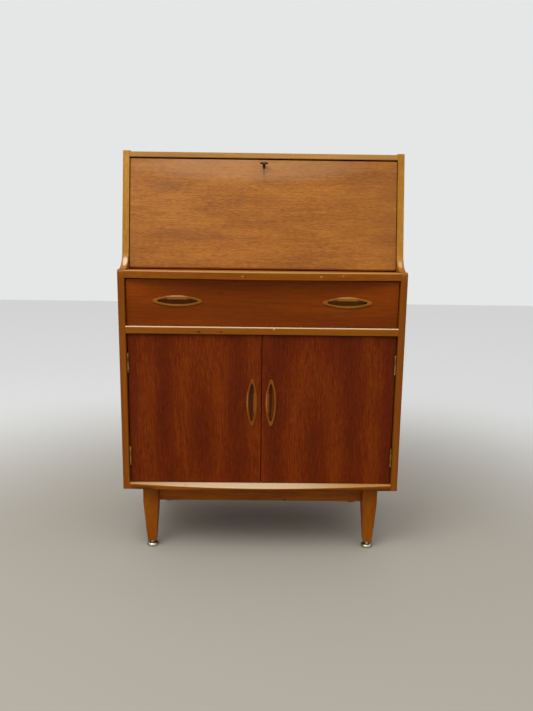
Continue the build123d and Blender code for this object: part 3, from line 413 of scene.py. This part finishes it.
teakVeneerFlap = makeWood("teakVeneerFlap", flapVeneer)
teakVeneerDrawer = makeWood("teakVeneerDrawer", drawerVeneer)
teakVeneerDoorLeft = makeWood("teakVeneerDoorLeft", doorVeneer)
teakVeneerDoorRight = makeWood("teakVeneerDoorRight", doorVeneerRight)
teakVeneerSide = makeWood("teakVeneerSide", sideVeneer)
teakVeneerTop = makeWood("teakVeneerTop", topVeneer)
solidTeakTop = makeWood("solidTeakTop", lipping)
solidTeakLedge = makeWood("solidTeakLedge", ledgeLipping)
solidTeakRail = makeWood("solidTeakRail", railLipping)
solidTeakBottom = makeWood("solidTeakBottom", bottomLipping)
solidTeakSide = makeWood("solidTeakSide", sideLipping)
carvedTeakDrawer = makeWood("carvedTeakDrawer", pullTeak)
carvedTeakDoor = makeWood("carvedTeakDoor", pullTeakUpright)
stainedHardwoodLeg = makeWood("stainedHardwoodLeg", legWood)
stainedHardwoodApron = makeWood("stainedHardwoodApron", apronWood)
stainedHardwoodSideApron = makeWood("stainedHardwoodSideApron", dict(legWood, grain=1, seed=105))
bareHardwood = makeWood("bareHardwood", insideWood)
bareHardwoodUpright = makeWood("bareHardwoodUpright", insideUpright)
bareHardwoodDeep = makeWood("bareHardwoodDeep", insideDeep)
# Metals: brass gone dull and brownish, and nearly black round the keyhole; steel greyed inside the desk and
# blackened on the key; nickel worn to a warm grey.  The back is pressed board and the catches are plastic.
agedBrass = makeMetal("agedBrass", {"seed": 3, "clean": "b8954a", "tarnish": "6e5220", "roughness": 0.34})
darkSteel = makeMetal("darkSteel", {"seed": 5, "clean": "8d867c", "tarnish": "5a534b", "roughness": 0.36})
agedKeySteel = makeMetal("agedKeySteel", {
    "seed": 6, "clean": "4d443a", "tarnish": "211b16", "roughness": 0.34})
darkenedBrass = makeMetal("darkenedBrass", {
    "seed": 10, "clean": "4d4436", "tarnish": "211b14", "roughness": 0.34})
wornNickel = makeMetal("wornNickel", {"seed": 7, "clean": "dcd2ba", "tarnish": "9c8f74", "roughness": 0.28})
pressedHardboard = makeMoulded("pressedHardboard", {
    "grain": (3, 3, 3), "dark": "6f4b2e", "light": "8f6742", "roughness": 0.75})
brownPlastic = makeMoulded("brownPlastic", {
    "grain": (1.2, 1.2, 1.2), "dark": "2b1b12", "light": "382419", "roughness": 0.42})
print("materials made")

paint(teakVeneerFlap, "flap_panel")
paint(teakVeneerDrawer, "drawer_front")
paint(teakVeneerDoorLeft, "door_left")
paint(teakVeneerDoorRight, "door_right")
paint(teakVeneerSide, "side_panel_left", "side_panel_right")
paint(teakVeneerTop, "top_board", "worktop", "writing_board")
paint(solidTeakTop, "top_lipping")
paint(solidTeakLedge, "worktop_lipping")
paint(solidTeakRail, "divider_lipping")
paint(solidTeakBottom, "bottom_lipping")
paint(solidTeakSide, "side_lipping_left", "side_lipping_right")
paint(carvedTeakDrawer, "drawer_pull_left", "drawer_pull_right")
paint(carvedTeakDoor, "door_pull_left", "door_pull_right")
paint(stainedHardwoodLeg, "leg_front_left", "leg_front_right", "leg_rear_left", "leg_rear_right")
paint(stainedHardwoodApron, "front_apron", "rear_apron")
paint(stainedHardwoodSideApron, "side_apron_left", "side_apron_right")
paint(
    bareHardwood, "divider_board", "bottom_board", "cupboard_shelf", "pigeonhole_shelf", "drawer_back",
    "drawer_bottom", "corner_blocks")
paint(bareHardwoodDeep, "drawer_side_left", "drawer_side_right", "drawer_runners")
paint(bareHardwoodUpright, "pigeonhole_dividers")
paint(pressedHardboard, "back_panel")
paint(
    agedBrass, "hinge_carcass_leaves", "hinge_door_leaves_left", "hinge_door_leaves_right", "hinge_pins",
    "pivot_bushes", "strike_plate", "shelf_pins", "stay_arm_left", "stay_arm_right")
paint(agedKeySteel, "key")
paint(darkenedBrass, "keyhole_escutcheon")
paint(
    darkSteel, "lock_case", "lock_bolt", "back_panel_screws", "catch_plate_left", "catch_plate_right",
    "flap_pivot_pins", "stay_studs", "stay_brackets")
paint(wornNickel, "glides")
paint(brownPlastic, "door_catches")
print("materials assigned")


def deselectAll():
    for thing in bpy.context.scene.objects:
        thing.select_set(False)


# Smoothing: corners closer than weld metres become one, and edges up to smoothAngle degrees are shaded round.
skin = {"weld": 0.000002, "smoothAngle": 32}


def smoothCopy(nodeName, pieceName):
    # the same shape joined into one skin and shaded smoothly, so its curves catch the light evenly
    deselectAll()
    source = cadNodes[nodeName]
    piece = bpy.data.objects.new(pieceName, source.data.copy())
    bpy.context.scene.collection.objects.link(piece)
    piece.select_set(True)
    bpy.context.view_layer.objects.active = piece
    bpy.ops.object.mode_set(mode="EDIT")
    bpy.ops.mesh.select_all(action="SELECT")
    bpy.ops.mesh.remove_doubles(threshold=skin["weld"])
    bpy.ops.object.mode_set(mode="OBJECT")
    bpy.ops.object.shade_smooth_by_angle(angle=radians(skin["smoothAngle"]))
    weighted = piece.modifiers.new("evenShading", "WEIGHTED_NORMAL")
    weighted.keep_sharp = True
    bpy.ops.object.modifier_apply(modifier=weighted.name)
    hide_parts(nodeName)
    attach(piece, bodyOf[nodeName])
    deselectAll()


smoothed = {
    "drawer_pull_left": "drawerPullLeft", "drawer_pull_right": "drawerPullRight",
    "door_pull_left": "doorPullLeft", "door_pull_right": "doorPullRight",
    "side_lipping_left": "sideLippingLeft", "side_lipping_right": "sideLippingRight",
    "worktop_lipping": "worktopLipping", "bottom_lipping": "bottomLipping",
    "glides": "footGlides", "key": "flapKey",
}
for nodeName, pieceName in smoothed.items():
    smoothCopy(nodeName, pieceName)
print("curved pieces smoothed:", len(smoothed))

# Countersunk slotted screws, in millimetres: each kind is modelled once and copied.  A slot is sunk no deeper
# than its head stands proud of the plate.
screwKinds = {
    "flush": {"radius": 3.1, "proud": 0.09, "sunk": 0.9, "slot": 0.9, "slotDepth": 0.07, "edge": 0.03},
    "raised": {"radius": 2.6, "proud": 0.7, "sunk": 0.5, "slot": 0.8, "slotDepth": 0.5, "edge": 0.3},
}
# Where the screws sit: steps between them, insets from a fitting's edge, and how far a face is from the flap's
# mid-thickness, inward being negative.
fittings = {
    "hingeScrewStep": 17.0, "hingeScrewFromBack": 7.0, "hingeInset": 77.4, "hingeLeaf": 1.2,
    "bracketFace": -10.0, "bracketScrewX": 350.0, "bracketScrewStep": 12.0, "bracketLevel": 108.83,
    "lockFace": -8.0, "lockScrewX": 20.0, "lockScrewInset": 6.0, "lockHeight": 38.0,
    "catchScrewX": 11.0, "strikeScrewX": 13.3,
}
# Each screw of a set stops at another angle, as screws driven by hand do.  Angles are in degrees; slotShare is
# the slot's length as a share of the head.
screwSet = {"firstTurn": 35, "nextTurn": 67, "sides": 24, "smoothAngle": 40, "slotShare": 0.8}
brassScrew = makeMetal("brassScrew", {"seed": 8, "clean": "ad8b45", "tarnish": "6a4f20", "roughness": 0.36})
steelScrew = makeMetal("steelScrew", {"seed": 9, "clean": "8f8980", "tarnish": "5e574f", "roughness": 0.38})
# the screw slots' faces: dark grime, with painted shade standing in for the slot's depth
slotGrimeAndShade = makeMoulded("slotGrimeAndShade", {
    "grain": (0.8, 0.8, 0.8), "dark": "17110c", "light": "2a2119", "roughness": 0.8})


def modelScrew(kind, metal):
    # a disc with a bevelled rim, whose top is cut into strips so that its slot can be sunk
    size = {name: value / 1000 for name, value in screwKinds[kind].items()}
    height = size["proud"] + size["sunk"]
    deselectAll()
    middle = (0, 0, size["proud"] - height / 2)
    bpy.ops.mesh.primitive_cylinder_add(
        vertices=screwSet["sides"], radius=size["radius"], depth=height, location=middle)
    head = bpy.context.object
    head.name = kind + "Screw"
    bpy.ops.object.transform_apply(location=True, rotation=True, scale=True)
    bpy.ops.object.mode_set(mode="EDIT")
    bpy.ops.mesh.select_mode(type="EDGE")
    bpy.ops.mesh.select_all(action="DESELECT")
    bpy.ops.object.mode_set(mode="OBJECT")
    for edge in head.data.edges:
        edge.select = all(head.data.vertices[corner].co.z > 0 for corner in edge.vertices)
    bpy.ops.object.mode_set(mode="EDIT")
    bpy.ops.mesh.bevel(offset=size["edge"], segments=2)
    for axis, reach in ((0, size["slot"] / 2), (1, size["radius"] * screwSet["slotShare"])):
        for side in (-1, 1):
            cut, normal = [0, 0, 0], [0, 0, 0]
            cut[axis] = side * reach
            normal[axis] = 1
            bpy.ops.mesh.select_all(action="SELECT")
            bpy.ops.mesh.bisect(plane_co=cut, plane_no=normal)
    bpy.ops.mesh.select_mode(type="FACE")
    bpy.ops.mesh.select_all(action="DESELECT")
    bpy.ops.object.mode_set(mode="OBJECT")
    for face in head.data.polygons:
        inSlot = abs(face.center.x) < size["slot"] / 4 and abs(face.center.y) < size["radius"] / 2
        face.select = face.normal.z > 0.9 and inSlot
    head.data.materials.append(metal)
    head.data.materials.append(slotGrimeAndShade)
    bpy.ops.object.mode_set(mode="EDIT")
    bpy.ops.mesh.extrude_region_move(TRANSFORM_OT_translate={"value": (0, 0, -size["slotDepth"])})
    head.active_material_index = 1
    bpy.ops.object.material_slot_assign()
    bpy.ops.object.mode_set(mode="OBJECT")
    bpy.ops.object.shade_smooth_by_angle(angle=radians(screwSet["smoothAngle"]))
    return head


def setScrews(name, pattern, places, outward, body):
    # copies of one screw, each turned a different way, joined as one piece
    deselectAll()
    heading = Vector(outward).to_track_quat("Z", "Y").to_matrix().to_4x4()
    for number, place in enumerate(places):
        copied = bpy.data.objects.new(name, pattern.data.copy())
        bpy.context.scene.collection.objects.link(copied)
        turned = Matrix.Rotation(radians(screwSet["firstTurn"] + screwSet["nextTurn"] * number), 4, "Z")
        copied.data.transform(Matrix.Translation([length / 1000 for length in place]) @ heading @ turned)
        copied.select_set(True)
        bpy.context.view_layer.objects.active = copied
    bpy.ops.object.join()
    piece = bpy.context.object
    piece.name = name
    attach(piece, body)
    deselectAll()


def boxMm(nodeName):
    return [[length * 1000 for length in corner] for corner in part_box(nodeName)]


brassPattern = modelScrew("flush", brassScrew)
steelPattern = modelScrew("raised", steelScrew)
leafHigh = boxMm("hinge_carcass_leaves")[1]
leafScrewY = leafHigh[1] - fittings["hingeScrewFromBack"]
for side, sign in (("left", -1), ("right", 1)):
    doorLow, doorHigh = boxMm("door_" + side)
    hingeMiddles = (doorLow[2] + fittings["hingeInset"], doorHigh[2] - fittings["hingeInset"])
    levels = [middle + step * fittings["hingeScrewStep"] for middle in hingeMiddles for step in (-1, 0, 1)]
    caseX = sign * (leafHigh[0] - fittings["hingeLeaf"])
    doorX = sign * (max(abs(doorLow[0]), abs(doorHigh[0])) + fittings["hingeLeaf"])
    setScrews(
        "caseHingeScrews" + side.title(), brassPattern, [(caseX, leafScrewY, z) for z in levels],
        (-sign, 0, 0), "carcass")
    setScrews(
        "doorHingeScrews" + side.title(), brassPattern, [(doorX, leafScrewY, z) for z in levels],
        (sign, 0, 0), "door_" + side)
    plateLow, plateHigh = boxMm("catch_plate_" + side)
    plateX, plateZ = (plateLow[0] + plateHigh[0]) / 2, (plateLow[2] + plateHigh[2]) / 2
    plateSpots = [(plateX + step * fittings["catchScrewX"], plateHigh[1], plateZ) for step in (-1, 1)]
    setScrews(
        "catchPlateScrews" + side.title(), brassPattern, plateSpots, (0, 1, 0), "door_" + side)
strikeLow, strikeHigh = boxMm("strike_plate")
strikeY = (strikeLow[1] + strikeHigh[1]) / 2
strikeSpots = [(step * fittings["strikeScrewX"], strikeY, strikeLow[2]) for step in (-1, 1)]
setScrews("strikeScrews", brassPattern, strikeSpots, (0, 0, -1), "carcass")
# the flap's own directions: up it from its pivot, and outward
flapJoint = [joint for joint in frame["record"]["behaviour"]["joints"] if joint["name"] == "flap_hinge"][0]
flapPivot = Vector(flapJoint["pos_m"]) * 1000
flapLean = radians(flapJoint["range_deg"][1] - 90)
flapUp = Vector((0, sin(flapLean), cos(flapLean)))
flapOut = Vector((0, -cos(flapLean), sin(flapLean)))
flapReach = max((vertex.co * 1000 - flapPivot).dot(flapUp) for vertex in cadNodes["lock_case"].data.vertices)


def onFlap(x, up, out):
    return flapPivot + Vector((x, 0, 0)) + up * flapUp + out * flapOut


bracketLevels = [fittings["bracketLevel"] + step * fittings["bracketScrewStep"] for step in (-1, 1)]
setScrews("bracketScrews", steelPattern, [
    onFlap(sign * fittings["bracketScrewX"], up, fittings["bracketFace"])
    for sign in (-1, 1) for up in bracketLevels], -flapOut, "flap")
lockFoot = flapReach - fittings["lockHeight"]
lockLevels = (flapReach - fittings["lockScrewInset"], lockFoot + fittings["lockScrewInset"])
setScrews("lockScrews", steelPattern, [
    onFlap(sign * fittings["lockScrewX"], up, fittings["lockFace"])
    for sign in (-1, 1) for up in lockLevels], -flapOut, "flap")
for pattern in (brassPattern, steelPattern):
    bpy.data.objects.remove(pattern)
print("screws set")

# Floor: a plain pale sheet, warm grey round the desk and clearing to the backdrop's tone further off.
floor = {
    "size": 14.0, "level": -0.0005, "near": "9b968b", "far": "cfd0cf", "centreY": -0.55, "nearRadius": 0.8,
    "farRadius": 2.4, "roughness": 0.75,
}
deselectAll()
bpy.ops.mesh.primitive_plane_add(size=floor["size"], location=(0, 0, floor["level"]))
floorSheet = bpy.context.object
floorSheet.name = "floorSheet"
bpy.ops.object.transform_apply(location=True, rotation=True, scale=True)
floorMaterial, tree, place, shader = startMaterial("paleScreed")
centre = (0, floor["centreY"], 0)
fromCentre = addNode(tree, "ShaderNodeVectorMath", {0: place, 1: centre}, operation="DISTANCE")
sweepEnds = (floor["nearRadius"], floor["farRadius"])
further = addRange(tree, fromCentre.outputs["Value"], sweepEnds, smooth=True)
tree.links.new(
    mixColour(tree, further, linearColour(floor["near"]), linearColour(floor["far"])),
    shader.inputs["Base Color"])
shader.inputs["Roughness"].default_value = floor["roughness"]
floorSheet.data.materials.append(floorMaterial)

# Light: a bright ceiling fades in between about 20 and 45 degrees up and is strongest in front; below it are a
# dimmer hall in front and a nearly dark wall behind.  Ends, rise and turns are the upward or backward part of
# a direction of length 1, and keyPower is in watts.
light = {
    "backdrop": "e5e7e6", "ceiling": 1.85, "ceilingEnds": (0.36, 0.72), "ceilingTurn": (-0.5, 0.6),
    "backShare": 0.4, "hall": 0.85, "hallRise": 0.20, "hallTurn": (-0.7, 0.5), "wall": 0.04,
    "keyPower": 45, "keyPlace": (-1.1, -1.7, 3.0), "keyTarget": (0, -0.1, 0.6), "keySize": 1.6,
}
world = bpy.data.worlds.new("hallLight")
bpy.context.scene.world = world
world.use_nodes = True
tree = world.node_tree
tree.nodes.clear()
direction = addNode(tree, "ShaderNodeTexCoord").outputs["Generated"]
facing = addNode(tree, "ShaderNodeSeparateXYZ", {0: direction})
back, up = facing.outputs["Y"], facing.outputs["Z"]
hallLevel = addRange(tree, back, light["hallTurn"], (light["hall"], light["wall"]), smooth=True)
ceilingBack = light["ceiling"] * light["backShare"]
ceilingLevel = addRange(tree, back, light["ceilingTurn"], (light["ceiling"], ceilingBack))
ceilingShare = addRange(tree, up, light["ceilingEnds"], smooth=True)
hallGlow = addRange(tree, up, (0.0, light["hallRise"]), (0.0, hallLevel), smooth=True)
surround = mixColour(tree, ceilingShare, hallGlow, ceilingLevel)
lit = addNode(tree, "ShaderNodeBackground", {"Color": surround, "Strength": 1.0})
plain = addNode(tree, "ShaderNodeBackground", {"Color": linearColour(light["backdrop"]), "Strength": 1.0})
seen = addNode(tree, "ShaderNodeLightPath").outputs["Is Camera Ray"]
backdrop = addNode(tree, "ShaderNodeMixShader", {0: seen, 1: lit.outputs[0], 2: plain.outputs[0]})
addNode(tree, "ShaderNodeOutputWorld", {"Surface": backdrop.outputs[0]})


def aimLamp(name, place, target, size, power):
    lampData = bpy.data.lights.new(name, "AREA")
    lampData.size = size
    lampData.energy = power
    lamp = bpy.data.objects.new(name, lampData)
    lamp.location = place
    lamp.rotation_euler = (Vector(target) - Vector(place)).to_track_quat("-Z", "Y").to_euler()
    bpy.context.scene.collection.objects.link(lamp)


aimLamp("keyLamp", light["keyPlace"], light["keyTarget"], light["keySize"], light["keyPower"])
bpy.context.scene.view_settings.view_transform = "Standard"
print("floor and lights placed")

# Camera: a little left of the middle and above the ledge, looking slightly down.  Place is in metres, angles
# are in degrees, and lens and sensor are in millimetres.
view = {
    "place": (-0.0048, -1.854, 0.8739), "yaw": 0.584, "pitch": 10.42, "roll": 0.728, "lens": 31.9,
    "sensor": 36.0,
}
yaw, pitch, roll = (radians(view[name]) for name in ("yaw", "pitch", "roll"))
level = Vector((sin(yaw), cos(yaw), 0))
right = Vector((cos(yaw), -sin(yaw), 0))
forward = cos(pitch) * level - sin(pitch) * Vector((0, 0, 1))
upward = sin(pitch) * level + cos(pitch) * Vector((0, 0, 1))
tiltedRight = cos(roll) * right + sin(roll) * upward
tiltedUp = cos(roll) * upward - sin(roll) * right
cameraData = bpy.data.cameras.new("frontCamera")
cameraData.lens = view["lens"]
cameraData.sensor_width = view["sensor"]
camera = bpy.data.objects.new("frontCamera", cameraData)
turn = Matrix((tiltedRight, tiltedUp, -forward)).transposed()
camera.matrix_world = Matrix.Translation(view["place"]) @ turn.to_4x4()
bpy.context.scene.collection.objects.link(camera)
bpy.context.scene.camera = camera
print("camera set")
